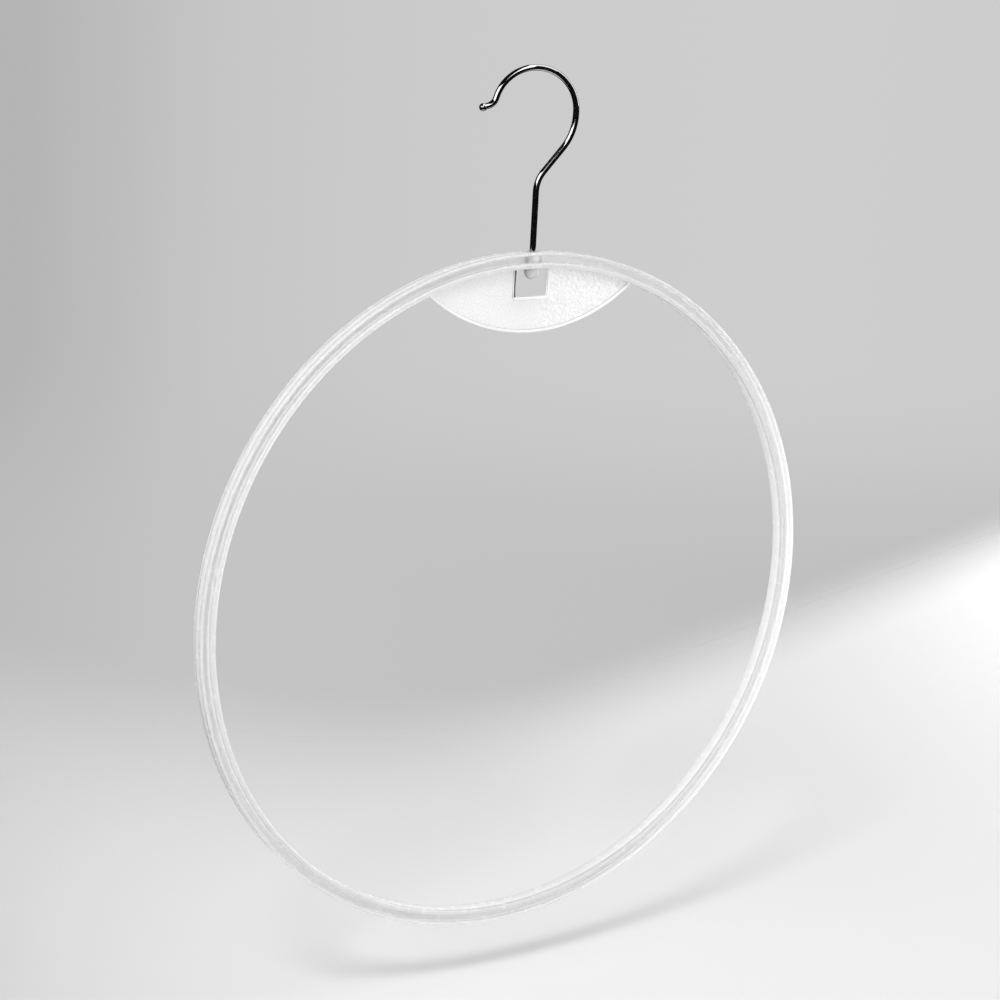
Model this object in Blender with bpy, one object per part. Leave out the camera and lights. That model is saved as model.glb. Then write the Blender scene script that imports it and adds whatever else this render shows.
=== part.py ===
"""Round hanger: a moulded plastic hoop that swivels on a bent wire hook.

Metres, +Z up. The hoop stands in the XZ plane and faces -Y. The origin lies on the
swivel's axis, on the underside of the hook's crook, where a rail carries the hanger.
"""

import math

import bmesh
import bpy
from mathutils import Matrix, Vector

# Hoop: an H section turned into a ring
HOOP_RADIUS = 0.170
SECTION_DEPTH = 0.0083
CHANNEL_WIDTH = 0.0036
OUTER_FLANGE = 0.0015
INNER_FLANGE = 0.0024
WEB_THICKNESS = 0.0014
CHANNEL_DRAFT = math.radians(1.5)
RIM_ROUNDING = 0.00035
ROOT_FILLET = 0.0006
RIM_SEGMENTS = 1
ROOT_SEGMENTS = 2
HOOP_STEPS = 144

# Label plate: a lens under the top of the hoop, with a raised frame and a window
PLATE_DROP = 0.0312
PLATE_ARC_RADIUS = 0.089
PANEL_THICKNESS = 0.0013
FRAME_RELIEF = 0.0003
FRAME_WIDTH = 0.0016
WINDOW_WIDTH = 0.0178
WINDOW_HEIGHT = 0.0138
WINDOW_CORNER = 0.0007
CORNER_STEP = math.radians(30.0)
ARC_STEP = math.radians(2.0)

# Hook: round wire, from the hoop's top up to the ball at its tip
WIRE_DIAMETER = 0.0030
SHANK_LENGTH = 0.0282
LOWER_BEND_RADIUS = 0.0160
SLANT_ANGLE = math.radians(37.5)
SLANT_LENGTH = 0.0139
UPPER_BEND_RADIUS = 0.0262
RISE_LENGTH = 0.0014
CROOK_RADIUS = 0.0195
CROOK_ANGLE = math.radians(165.0)
TIP_BEND_RADIUS = 0.0054
TIP_BEND_ANGLE = math.radians(57.0)
TIP_LENGTH = 0.0026
BALL_FLARE = 0.0004
HOOK_TURN = math.radians(-20.0)
WIRE_SIDES = 20
BEND_STEP = math.radians(4.5)

# Swivel: a snap head on the shank, held under the lip of a blind socket
SWIVEL_CLEARANCE = 0.0003
HEAD_FLARE = 0.0008
HEAD_BAND = 0.0006
HEAD_CONE = 0.0022
HEAD_TIP_RADIUS = 0.0009
LIP_DEPTH = 0.0039
SOCKET_LEAD_IN = 0.0004
SOCKET_ROOM = 0.0025
SOCKET_WALL = 0.0011
TURNED_STEPS = 28
DOME_STEP = math.radians(15.0)

# Worked out from the values above
SECTION_HEIGHT = OUTER_FLANGE + CHANNEL_WIDTH + INNER_FLANGE
INNER_RADIUS = HOOP_RADIUS - SECTION_HEIGHT
JOIN_RADIUS = INNER_RADIUS + INNER_FLANGE / 2
PLATE_ARC_HEIGHT = INNER_RADIUS - PLATE_DROP + PLATE_ARC_RADIUS
FRAME_THICKNESS = PANEL_THICKNESS + 2 * FRAME_RELIEF
WINDOW_SILL = INNER_RADIUS - WINDOW_HEIGHT
WIRE_RADIUS = WIRE_DIAMETER / 2
BALL_RADIUS = WIRE_RADIUS + BALL_FLARE
HEAD_RADIUS = WIRE_RADIUS + HEAD_FLARE
HEAD_LENGTH = HEAD_BAND + HEAD_CONE
SHOULDER_DEPTH = LIP_DEPTH + SWIVEL_CLEARANCE
BORE_RADIUS = WIRE_RADIUS + SWIVEL_CLEARANCE
SOCKET_RADIUS = HEAD_RADIUS + SWIVEL_CLEARANCE
BOSS_RADIUS = SOCKET_RADIUS + SOCKET_WALL
DOME_DEPTH = SHOULDER_DEPTH + HEAD_LENGTH + SOCKET_ROOM

# How far cutters pass the faces they cut, and limits for the mesh itself
CUTTER_EXCESS = 0.0020
MERGE_DISTANCE = 1e-6
SHARP_ANGLE = math.radians(30.0)


def clear_scene():
    for obj in list(bpy.data.objects):
        bpy.data.objects.remove(obj, do_unlink=True)


def make_material(name, colour, roughness, metallic, transmission):
    """A Principled BSDF material, with the colour as linear red, green and blue."""
    material = bpy.data.materials.new(name)
    material.use_nodes = True
    shader = material.node_tree.nodes["Principled BSDF"]
    shader.inputs["Base Color"].default_value = (*colour, 1.0)
    shader.inputs["Roughness"].default_value = roughness
    shader.inputs["Metallic"].default_value = metallic
    shader.inputs["Transmission Weight"].default_value = transmission
    material.diffuse_color = (*colour, 1.0)
    material.roughness = roughness
    material.metallic = metallic
    return material


def add_object(name, bm, height):
    """Turns the bmesh into an object whose origin is on the swivel's axis."""
    bmesh.ops.recalc_face_normals(bm, faces=bm.faces)
    mesh = bpy.data.meshes.new(name)
    bm.to_mesh(mesh)
    bm.free()
    mesh.shade_smooth()
    mesh.set_sharp_from_angle(angle=SHARP_ANGLE)
    obj = bpy.data.objects.new(name, mesh)
    obj.location = (0.0, 0.0, height)
    bpy.context.scene.collection.objects.link(obj)
    return obj


def make_helper(obj):
    """A shape that only cuts or joins others: it is drawn as wire and never rendered."""
    obj.hide_render = True
    obj.display_type = "WIRE"
    return obj


def add_boolean(target, operand, operation):
    modifier = target.modifiers.new(operand.name, "BOOLEAN")
    modifier.operation = operation
    modifier.object = operand
    modifier.solver = "EXACT"


def arc_points(centre, radius, start, end, step):
    """Points (x, z) from angle start to angle end, no further apart than step."""
    count = max(2, math.ceil(abs(end - start) / step))
    angles = [start + (end - start) * i / count for i in range(count + 1)]
    return [
        (centre[0] + radius * math.cos(a), centre[1] + radius * math.sin(a))
        for a in angles
    ]


def extrude_outline(bm, outline, low_y, high_y):
    """A closed slab with the (x, z) outline, from low_y to high_y."""
    verts = [bm.verts.new((x, low_y, z)) for x, z in outline]
    face = bm.faces.new(verts)
    grown = bmesh.ops.extrude_face_region(bm, geom=[face])
    moved = [v for v in grown["geom"] if isinstance(v, bmesh.types.BMVert)]
    bmesh.ops.translate(bm, verts=moved, vec=(0.0, high_y - low_y, 0.0))


def turn_profile(bm, profile):
    """A closed solid of revolution about Z. The (radius, z) profile ends on the axis."""
    verts = [bm.verts.new((radius, 0.0, z)) for radius, z in profile]
    edges = [bm.edges.new(pair) for pair in zip(verts, verts[1:])]
    bmesh.ops.spin(
        bm,
        geom=verts + edges,
        cent=(0.0, 0.0, 0.0),
        axis=(0.0, 0.0, 1.0),
        angle=math.tau,
        steps=TURNED_STEPS,
        use_merge=True,
    )
    bmesh.ops.remove_doubles(bm, verts=bm.verts, dist=MERGE_DISTANCE)


# Hoop


def section_corners():
    """The H section as (radius, y, rounding) corners, going once round it."""
    rim = SECTION_DEPTH / 2
    root = WEB_THICKNESS / 2
    lean = (rim - root) * math.tan(CHANNEL_DRAFT)
    outer_root = HOOP_RADIUS - OUTER_FLANGE
    inner_root = INNER_RADIUS + INNER_FLANGE
    half = [
        (HOOP_RADIUS, rim, RIM_ROUNDING),
        (outer_root + lean, rim, RIM_ROUNDING),
        (outer_root, root, ROOT_FILLET),
        (inner_root, root, ROOT_FILLET),
        (inner_root - lean, rim, RIM_ROUNDING),
        (INNER_RADIUS, rim, RIM_ROUNDING),
    ]
    return half + [(radius, -y, rounding) for radius, y, rounding in reversed(half)]


def make_ring(height):
    """The hoop's ring: the rounded H section spun once round the hoop's axis."""
    bm = bmesh.new()
    corners = section_corners()
    verts = [bm.verts.new((radius, y, 0.0)) for radius, y, _ in corners]
    bm.faces.new(verts)
    rims = [v for v, corner in zip(verts, corners) if corner[2] == RIM_ROUNDING]
    roots = [v for v, corner in zip(verts, corners) if corner[2] == ROOT_FILLET]
    for chosen, rounding, segments in (
        (rims, RIM_ROUNDING, RIM_SEGMENTS),
        (roots, ROOT_FILLET, ROOT_SEGMENTS),
    ):
        bmesh.ops.bevel(
            bm,
            geom=chosen,
            offset=rounding,
            segments=segments,
            profile=0.5,
            material=-1,
            affect="VERTICES",
        )
    bmesh.ops.delete(bm, geom=bm.faces[:], context="FACES_ONLY")
    bmesh.ops.spin(
        bm,
        geom=bm.verts[:] + bm.edges[:],
        cent=(0.0, 0.0, 0.0),
        axis=(0.0, 1.0, 0.0),
        angle=math.tau,
        steps=HOOP_STEPS,
        use_merge=True,
    )
    return add_object("moulded_hoop", bm, height)


def lens_outline(arc_radius, join_radius):
    """The plate's outline: its lower arc, closed by an arc inside the hoop's flange."""
    centre = (0.0, PLATE_ARC_HEIGHT)
    tip_z = (join_radius**2 - arc_radius**2 + centre[1] ** 2) / (2 * centre[1])
    tip_x = math.sqrt(join_radius**2 - tip_z**2)
    lower_end = math.atan2(tip_z - centre[1], tip_x)
    upper_end = math.atan2(tip_z, tip_x)
    lower = arc_points(centre, arc_radius, -math.pi - lower_end, lower_end, ARC_STEP)
    upper = arc_points((0.0, 0.0), join_radius, upper_end, math.pi - upper_end, ARC_STEP)
    return lower + upper[1:-1]


def box_outline(half_width, low_z, high_z, corner):
    """A rectangle, rounded at its two lower corners."""
    left = arc_points(
        (corner - half_width, low_z + corner),
        corner,
        math.pi,
        math.pi * 1.5,
        CORNER_STEP,
    )
    right = [(-x, z) for x, z in reversed(left)]
    return [(-half_width, high_z)] + left + right + [(half_width, high_z)]


def make_plate(height):
    """The label plate: a framed lens with a thin panel and a window under the hook."""
    bm = bmesh.new()
    outline = lens_outline(PLATE_ARC_RADIUS, JOIN_RADIUS)
    extrude_outline(bm, outline, -FRAME_THICKNESS / 2, FRAME_THICKNESS / 2)
    plate = make_helper(add_object("plate_blank", bm, height))

    window_top = JOIN_RADIUS + CUTTER_EXCESS
    half_window = WINDOW_WIDTH / 2
    bm = bmesh.new()
    outline = box_outline(half_window, WINDOW_SILL, window_top, WINDOW_CORNER)
    extrude_outline(bm, outline, -CUTTER_EXCESS, CUTTER_EXCESS)
    window = make_helper(add_object("window_cutter", bm, height))

    bm = bmesh.new()
    frame_corner = WINDOW_CORNER + FRAME_WIDTH
    outline = box_outline(
        half_window + FRAME_WIDTH,
        WINDOW_SILL - FRAME_WIDTH,
        window_top + CUTTER_EXCESS,
        frame_corner,
    )
    extrude_outline(bm, outline, -2 * CUTTER_EXCESS, 2 * CUTTER_EXCESS)
    frame = make_helper(add_object("window_frame", bm, height))

    bm = bmesh.new()
    outline = lens_outline(PLATE_ARC_RADIUS - FRAME_WIDTH, JOIN_RADIUS + CUTTER_EXCESS)
    extrude_outline(bm, outline, PANEL_THICKNESS / 2, CUTTER_EXCESS)
    extrude_outline(bm, outline, -CUTTER_EXCESS, -PANEL_THICKNESS / 2)
    recess = make_helper(add_object("panel_cutter", bm, height))

    add_boolean(recess, frame, "DIFFERENCE")
    add_boolean(plate, recess, "DIFFERENCE")
    add_boolean(plate, window, "DIFFERENCE")
    return plate


def dome_profile(radius, centre_z):
    """The quarter circle from the axis up to the side of a domed end."""
    return arc_points((0.0, centre_z), radius, -math.pi / 2, 0.0, DOME_STEP)


def make_socket_boss(height):
    """The round boss that crosses the channel and ends in a dome inside the window."""
    bm = bmesh.new()
    top = -OUTER_FLANGE / 2
    profile = dome_profile(BOSS_RADIUS, -DOME_DEPTH) + [(BOSS_RADIUS, top), (0.0, top)]
    turn_profile(bm, profile)
    return make_helper(add_object("socket_boss", bm, height))


def make_socket_cutter(height):
    """The blind socket: a lead-in, a bore through the lip, and a domed chamber."""
    bm = bmesh.new()
    profile = dome_profile(SOCKET_RADIUS, -DOME_DEPTH) + [
        (SOCKET_RADIUS, -LIP_DEPTH),
        (BORE_RADIUS, -LIP_DEPTH),
        (BORE_RADIUS, -SOCKET_LEAD_IN),
        (BORE_RADIUS + SOCKET_LEAD_IN + CUTTER_EXCESS, CUTTER_EXCESS),
        (0.0, CUTTER_EXCESS),
    ]
    turn_profile(bm, profile)
    return make_helper(add_object("socket_cutter", bm, height))


def make_hoop(centre_z, top_z, material):
    """The one moulding: ring, label plate and swivel socket."""
    hoop = make_ring(centre_z)
    hoop.data.materials.append(material)
    add_boolean(hoop, make_plate(centre_z), "UNION")
    add_boolean(hoop, make_socket_boss(top_z), "UNION")
    add_boolean(hoop, make_socket_cutter(top_z), "DIFFERENCE")
    return hoop


# Hook


def seat_height():
    """How far the crook's underside is above the hoop, on the swivel's axis."""
    sine = math.sin(SLANT_ANGLE)
    cosine = math.cos(SLANT_ANGLE)
    sideways = (LOWER_BEND_RADIUS + UPPER_BEND_RADIUS) * (1 - cosine)
    sideways += SLANT_LENGTH * sine
    centre_x = sideways - CROOK_RADIUS
    centre_z = SHANK_LENGTH + (LOWER_BEND_RADIUS + UPPER_BEND_RADIUS) * sine
    centre_z += SLANT_LENGTH * cosine + RISE_LENGTH
    inside = CROOK_RADIUS - WIRE_RADIUS
    return centre_z + math.sqrt(inside**2 - centre_x**2)


class WirePath:
    """A wire grown ring by ring, as it is drawn, headed and bent."""

    def __init__(self, radius, z):
        self.bm = bmesh.new()
        self.position = Vector((0.0, 0.0, z))
        self.direction = Vector((0.0, 0.0, 1.0))
        start = bmesh.ops.create_circle(
            self.bm,
            cap_ends=True,
            segments=WIRE_SIDES,
            radius=radius,
            matrix=Matrix.Translation(self.position),
        )
        self.radius = radius
        self.verts = start["verts"]
        self.edges = [e for e in self.bm.edges if e.is_boundary]

    def straight(self, length, radius=None):
        """Grows the wire straight on, tapering to the new radius if there is one."""
        grown = bmesh.ops.extrude_edge_only(self.bm, edges=self.edges)["geom"]
        self.take_end(grown)
        step = self.direction * length
        bmesh.ops.translate(self.bm, verts=self.verts, vec=step)
        self.position = self.position + step
        if radius is not None:
            share = radius / self.radius
            space = Matrix.Translation(-self.position)
            bmesh.ops.scale(self.bm, verts=self.verts, vec=(share,) * 3, space=space)
            self.radius = radius

    def bend(self, bend_radius, angle):
        """Bends the wire in its own plane, to +X for a positive angle."""
        side = Vector((self.direction.z, 0.0, -self.direction.x))
        centre = self.position + side * math.copysign(bend_radius, angle)
        grown = bmesh.ops.spin(
            self.bm,
            geom=self.verts + self.edges,
            cent=centre,
            axis=(0.0, 1.0, 0.0),
            angle=angle,
            steps=math.ceil(abs(angle) / BEND_STEP),
        )["geom_last"]
        self.take_end(grown)
        turn = Matrix.Rotation(angle, 3, "Y")
        self.position = centre + turn @ (self.position - centre)
        self.direction = turn @ self.direction

    def take_end(self, grown):
        self.verts = [v for v in grown if isinstance(v, bmesh.types.BMVert)]
        self.edges = [e for e in grown if isinstance(e, bmesh.types.BMEdge)]

    def cap(self):
        bmesh.ops.contextual_create(self.bm, geom=self.edges)


def make_hook(top_z, material):
    """The hook: snap head, shank, swan neck, crook and ball tip, from one wire."""
    wire = WirePath(HEAD_TIP_RADIUS, -SHOULDER_DEPTH - HEAD_LENGTH)
    wire.straight(HEAD_CONE, HEAD_RADIUS)
    wire.straight(HEAD_BAND)
    wire.straight(0.0, WIRE_RADIUS)
    wire.straight(SHOULDER_DEPTH + SHANK_LENGTH)
    wire.bend(LOWER_BEND_RADIUS, SLANT_ANGLE)
    wire.straight(SLANT_LENGTH)
    wire.bend(UPPER_BEND_RADIUS, -SLANT_ANGLE)
    wire.straight(RISE_LENGTH)
    wire.bend(CROOK_RADIUS, -CROOK_ANGLE)
    wire.bend(TIP_BEND_RADIUS, TIP_BEND_ANGLE)
    wire.straight(TIP_LENGTH)
    wire.cap()
    ball_centre = wire.position
    hook = add_object("wire_hook", wire.bm, top_z)
    hook.data.materials.append(material)

    bm = bmesh.new()
    bmesh.ops.create_uvsphere(
        bm,
        u_segments=WIRE_SIDES,
        v_segments=WIRE_SIDES // 2,
        radius=BALL_RADIUS,
        matrix=Matrix.Translation(ball_centre),
    )
    ball = make_helper(add_object("tip_ball", bm, top_z))
    add_boolean(hook, ball, "UNION")
    for obj in (hook, ball):
        obj.rotation_euler.z = HOOK_TURN
    return hook


def main():
    clear_scene()
    plastic = make_material("natural_polypropylene", (0.80, 0.82, 0.82), 0.35, 0.0, 0.6)
    chrome = make_material("polished_chrome", (0.55, 0.56, 0.58), 0.06, 1.0, 0.0)
    top_z = -seat_height()
    make_hook(top_z, chrome)
    make_hoop(top_z - HOOP_RADIUS, top_z, plastic)


main()
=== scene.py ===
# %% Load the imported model
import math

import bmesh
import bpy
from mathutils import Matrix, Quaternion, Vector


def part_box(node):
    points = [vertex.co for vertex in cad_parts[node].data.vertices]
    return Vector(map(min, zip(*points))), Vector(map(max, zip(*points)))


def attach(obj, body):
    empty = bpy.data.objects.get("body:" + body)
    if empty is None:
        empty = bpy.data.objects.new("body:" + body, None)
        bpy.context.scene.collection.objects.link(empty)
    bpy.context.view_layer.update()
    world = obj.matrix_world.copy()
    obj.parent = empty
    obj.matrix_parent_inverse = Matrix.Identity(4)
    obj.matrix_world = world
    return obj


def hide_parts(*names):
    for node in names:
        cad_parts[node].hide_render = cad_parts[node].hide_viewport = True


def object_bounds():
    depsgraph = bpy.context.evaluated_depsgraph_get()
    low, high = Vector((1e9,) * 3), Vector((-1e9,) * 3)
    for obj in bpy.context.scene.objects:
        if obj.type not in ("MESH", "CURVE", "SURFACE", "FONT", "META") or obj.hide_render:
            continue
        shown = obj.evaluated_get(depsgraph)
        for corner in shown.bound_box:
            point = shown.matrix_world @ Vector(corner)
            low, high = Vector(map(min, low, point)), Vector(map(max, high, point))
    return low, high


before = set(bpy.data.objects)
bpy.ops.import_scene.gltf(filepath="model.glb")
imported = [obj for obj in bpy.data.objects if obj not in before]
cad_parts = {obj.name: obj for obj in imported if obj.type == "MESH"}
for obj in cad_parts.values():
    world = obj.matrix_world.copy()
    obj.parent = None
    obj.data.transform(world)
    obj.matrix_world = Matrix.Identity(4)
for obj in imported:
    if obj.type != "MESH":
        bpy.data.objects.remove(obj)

# %% [markdown]
# # A round hanger, dressed for its portrait
#
# The real object is two pieces: a hoop moulded from natural polypropylene, which is cloudy and
# half clear, and a hook bent from chromed steel wire that turns in a socket at the hoop's top. The
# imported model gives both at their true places, in metres. This script makes each again with finer
# edges and its real finish, and lets it ride on the body that it belongs to.

cad_low, cad_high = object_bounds()
print("model's box in mm:", [round(1000 * (b - a), 1) for a, b in zip(cad_low, cad_high)])

# %% [markdown]
# ## Sizes
#
# Both pieces repeat the sizes that the solids were made to, in millimetres. The origin lies on the
# swivel's axis, under the crook, where a rail would carry the hanger, so everything hangs below it.

# %% The sizes of the hoop's section
MM = 0.001
HOOP_RADIUS = 170.0 * MM
SECTION_DEPTH = 8.3 * MM
CHANNEL_WIDTH = 3.6 * MM
OUTER_FLANGE = 1.5 * MM
INNER_FLANGE = 2.4 * MM
WEB_THICKNESS = 1.4 * MM
INNER_RADIUS = HOOP_RADIUS - OUTER_FLANGE - CHANNEL_WIDTH - INNER_FLANGE
print("hoop measures", round(2000 * INNER_RADIUS, 1), "mm across its inside")

# %% The wire's bends and straights, from the shank up to the tip
WIRE_RADIUS = 1.5 * MM
SHANK_LENGTH = 28.2 * MM
LOWER_BEND_RADIUS = 16.0 * MM
SLANT_ANGLE = math.radians(37.5)
SLANT_LENGTH = 13.9 * MM
UPPER_BEND_RADIUS = 26.2 * MM
RISE_LENGTH = 1.4 * MM
CROOK_RADIUS = 19.5 * MM
CROOK_ANGLE = math.radians(165.0)
TIP_BEND_RADIUS = 5.4 * MM
TIP_BEND_ANGLE = math.radians(57.0)
TIP_LENGTH = 2.6 * MM
BALL_FLARE = 0.4 * MM
BALL_RADIUS = WIRE_RADIUS + BALL_FLARE
HOOK_TURN = math.radians(-20.0)
print("crook measures", round(2000 * (CROOK_RADIUS - WIRE_RADIUS), 1), "mm across its inside")

# %% The hoop's height under the rail
HOOP_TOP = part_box("moulded_hoop")[1].z
HOOP_CENTRE = HOOP_TOP - HOOP_RADIUS
print("hoop's top lies", round(-1000 * HOOP_TOP, 2), "mm under the rail's top")

# %% [markdown]
# ## Small helpers
#
# Colours are written as the sRGB hex values that a paint program shows, and one function turns
# them to the linear values that a shader works in. Another adds a shader node with its settings and
# its links. Two small ones start a material and put the finished one on its piece.

# %% Colour and node helpers
def linear(code):
    """sRGB hex such as F4F6F6 to linear red, green, blue and alpha."""
    values = [int(code[i:i + 2], 16) / 255 for i in (0, 2, 4)]
    return [v / 12.92 if v <= 0.04045 else ((v + 0.055) / 1.055) ** 2.4 for v in values] + [1.0]


def feed(tree, node, inputs):
    """Gives each input that is named a value, a socket's link or another node's first output."""
    for name, value in inputs.items():
        if isinstance(value, bpy.types.Node):
            value = next(socket for socket in value.outputs if socket.enabled)
        if isinstance(value, bpy.types.NodeSocket):
            tree.links.new(value, node.inputs[name])
        else:
            node.inputs[name].default_value = value


def add_node(tree, kind, settings=None, inputs=None):
    """Adds a node, sets its properties and feeds its inputs."""
    node = tree.nodes.new(kind)
    for name, value in (settings or {}).items():
        setattr(node, name, value)
    feed(tree, node, inputs or {})
    return node


# %% Material helpers
def new_material(name):
    """A material with Blender's usual two nodes, the Principled shader and the output."""
    material = bpy.data.materials.new(name)
    material.use_nodes = True
    return material


def dress(obj, material):
    """Puts a material on an object in place of any that it has."""
    obj.data.materials.clear()
    obj.data.materials.append(material)
    print(obj.name, "wears", material.name, "of", len(material.node_tree.nodes), "nodes")


# %% [markdown]
# Every finished piece sits at the origin, unturned, with its place in its mesh. Edges sharper than
# 35 degrees stay crisp and the rest is shaded smooth. Shapes are joined and cut with Booleans, and
# each is applied at once, so that the next one works on a plain mesh.

# %% Object helpers
SHARP_ANGLE = math.radians(35)


def shade(mesh):
    """Shades a mesh smooth and keeps its sharp edges crisp."""
    mesh.shade_smooth()
    mesh.set_sharp_from_angle(angle=SHARP_ANGLE)


def add_object(name, bm):
    """Turns a bmesh into an object, with its faces pointing outwards, and frees the bmesh."""
    bmesh.ops.recalc_face_normals(bm, faces=bm.faces)
    mesh = bpy.data.meshes.new(name)
    bm.to_mesh(mesh)
    bm.free()
    shade(mesh)
    obj = bpy.data.objects.new(name, mesh)
    bpy.context.scene.collection.objects.link(obj)
    return obj


# %% Modifier helpers
MERGE_DISTANCE = 0.001 * MM


def apply_modifiers(obj):
    """Gives an object the mesh that its modifiers make, and takes them off."""
    graph = bpy.context.evaluated_depsgraph_get()
    mesh = bpy.data.meshes.new_from_object(obj.evaluated_get(graph))
    obj.modifiers.clear()
    obj.data = mesh
    print(obj.name, "has", len(mesh.polygons), "faces")


def combine(target, other, operation):
    """Joins or cuts with a Boolean, applies it at once, and removes the other object."""
    modifier = target.modifiers.new(other.name, "BOOLEAN")
    modifier.operation = operation
    modifier.object = other
    modifier.solver = "EXACT"
    apply_modifiers(target)
    bpy.data.objects.remove(other, do_unlink=True)


def weld(obj):
    """Merges points on the same spot, which a Boolean can leave where two shapes meet."""
    bm = bmesh.new()
    bm.from_mesh(obj.data)
    before = len(bm.verts)
    bmesh.ops.remove_doubles(bm, verts=bm.verts, dist=MERGE_DISTANCE)
    print(obj.name, "lost", before - len(bm.verts), "double points")
    bm.to_mesh(obj.data)
    bm.free()


# %% [markdown]
# ## The hoop's ring
#
# The ring is an H section: two flanges joined by a thin web, with a channel front and back. That
# gives a stiff hoop with little plastic and walls that cool evenly in the mould. One section is
# drawn flat, its corners are rounded as the mould's are, and it is spun once round the hoop's axis.
# A torus or a bevelled curve would be quicker, but neither has flanges, and the light caught between
# them is what makes the ring look like a moulding.

# %% Draw the H section
CHANNEL_DRAFT = math.radians(1.5)
rim = SECTION_DEPTH / 2
root = WEB_THICKNESS / 2
lean = (rim - root) * math.tan(CHANNEL_DRAFT)
outer_root = HOOP_RADIUS - OUTER_FLANGE
inner_root = INNER_RADIUS + INNER_FLANGE
half_section = [
    (HOOP_RADIUS, rim),
    (outer_root + lean, rim),
    (outer_root, root),
    (inner_root, root),
    (inner_root - lean, rim),
    (INNER_RADIUS, rim),
]
section = half_section + [(radius, -y) for radius, y in reversed(half_section)]
ring = bmesh.new()
corners = [ring.verts.new((radius, y, 0)) for radius, y in section]
ring.faces.new(corners)
section_width = 1000 * (HOOP_RADIUS - INNER_RADIUS)
print("section:", round(section_width, 2), "mm wide,", 1000 * SECTION_DEPTH, "mm deep")

# %% Round its corners and spin it
RIM_ROUNDING = 0.35 * MM
ROOT_FILLET = 0.6 * MM
RIM_SEGMENTS = 4
ROOT_SEGMENTS = 3
HOOP_STEPS = 288
rims = [v for v in corners if abs(v.co.y) > root]
roots = [v for v in corners if v not in rims]
for chosen, rounding, segments in (
    (rims, RIM_ROUNDING, RIM_SEGMENTS),
    (roots, ROOT_FILLET, ROOT_SEGMENTS),
):
    bmesh.ops.bevel(
        ring,
        geom=chosen,
        offset=rounding,
        segments=segments,
        profile=0.5,
        material=-1,
        affect="VERTICES",
    )
bmesh.ops.delete(ring, geom=ring.faces[:], context="FACES_ONLY")
bmesh.ops.spin(
    ring,
    geom=ring.verts[:] + ring.edges[:],
    cent=(0, 0, 0),
    axis=(0, 1, 0),
    angle=math.tau,
    steps=HOOP_STEPS,
    use_merge=True,
)
bmesh.ops.translate(ring, verts=ring.verts, vec=(0, 0, HOOP_CENTRE))
hoop = add_object("hoop_moulding", ring)
print("ring has", len(hoop.data.polygons), "faces")

# %% [markdown]
# ## The label plate
#
# Under the hook a lens-shaped plate closes the top of the hoop. It has a thin panel for a size
# label, a raised frame that stops the label's edge from lifting, and a window under the socket
# through which a second hanger or a tag can hang. The lens is the space between two arcs, so its
# outline comes from two arcs of points, is extruded to the frame's thickness, and is then recessed
# and cut. What cuts reaches 2 mm past what it cuts, because a Boolean works best where no faces lie
# on each other.

# %% The plate's sizes
PLATE_DROP = 31.2 * MM
PLATE_ARC_RADIUS = 89.0 * MM
PANEL_THICKNESS = 1.3 * MM
FRAME_RELIEF = 0.3 * MM
FRAME_WIDTH = 1.6 * MM
WINDOW_WIDTH = 17.8 * MM
WINDOW_HEIGHT = 13.8 * MM
WINDOW_CORNER = 0.7 * MM
JOIN_RADIUS = INNER_RADIUS + INNER_FLANGE / 2
PLATE_ARC_HEIGHT = INNER_RADIUS - PLATE_DROP + PLATE_ARC_RADIUS
FRAME_THICKNESS = PANEL_THICKNESS + 2 * FRAME_RELIEF
WINDOW_SILL = INNER_RADIUS - WINDOW_HEIGHT
PAST = 2.0 * MM
WINDOW_TOP = JOIN_RADIUS + PAST
print("plate hangs", round(1000 * PLATE_DROP, 1), "mm into the hoop")

# %% Arcs and slabs
ARC_STEP = math.radians(1)
CORNER_STEP = math.radians(15)


def arc(centre, radius, start, end, step=ARC_STEP):
    """Points of an arc, its ends among them, no further apart than the step."""
    count = max(2, math.ceil(abs(end - start) / step))
    angles = [start + (end - start) * i / count for i in range(count + 1)]
    return [(centre[0] + radius * math.cos(a), centre[1] + radius * math.sin(a)) for a in angles]


def slab(bm, outline, low_y, high_y):
    """A closed slab over an (x, z) outline that is measured from the hoop's centre."""
    face = bm.faces.new([bm.verts.new((x, low_y, HOOP_CENTRE + z)) for x, z in outline])
    grown = bmesh.ops.extrude_face_region(bm, geom=[face])["geom"]
    moved = [v for v in grown if isinstance(v, bmesh.types.BMVert)]
    bmesh.ops.translate(bm, verts=moved, vec=(0, high_y - low_y, 0))


# %% Outlines of the lens and the window
def lens(arc_radius, join_radius):
    """The plate's arc below, closed by an arc round the hoop's centre above."""
    tip_z = (join_radius**2 - arc_radius**2 + PLATE_ARC_HEIGHT**2) / (2 * PLATE_ARC_HEIGHT)
    tip_x = math.sqrt(join_radius**2 - tip_z**2)
    lower_end = math.atan2(tip_z - PLATE_ARC_HEIGHT, tip_x)
    upper_end = math.atan2(tip_z, tip_x)
    lower = arc((0, PLATE_ARC_HEIGHT), arc_radius, -math.pi - lower_end, lower_end)
    return lower + arc((0, 0), join_radius, upper_end, math.pi - upper_end)[1:-1]


def notch(half_width, low_z, high_z, corner):
    """An upright oblong with its two lower corners rounded."""
    corner_centre = (corner - half_width, low_z + corner)
    left = arc(corner_centre, corner, math.pi, 1.5 * math.pi, CORNER_STEP)
    right = [(-x, z) for x, z in reversed(left)]
    return [(-half_width, high_z)] + left + right + [(half_width, high_z)]


# %% Make the lens
blank = bmesh.new()
slab(blank, lens(PLATE_ARC_RADIUS, JOIN_RADIUS), -FRAME_THICKNESS / 2, FRAME_THICKNESS / 2)
plate = add_object("plate", blank)
plate_tip = max(vertex.co.x for vertex in plate.data.vertices)
print("plate is", round(2000 * plate_tip, 1), "mm wide")

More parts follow.
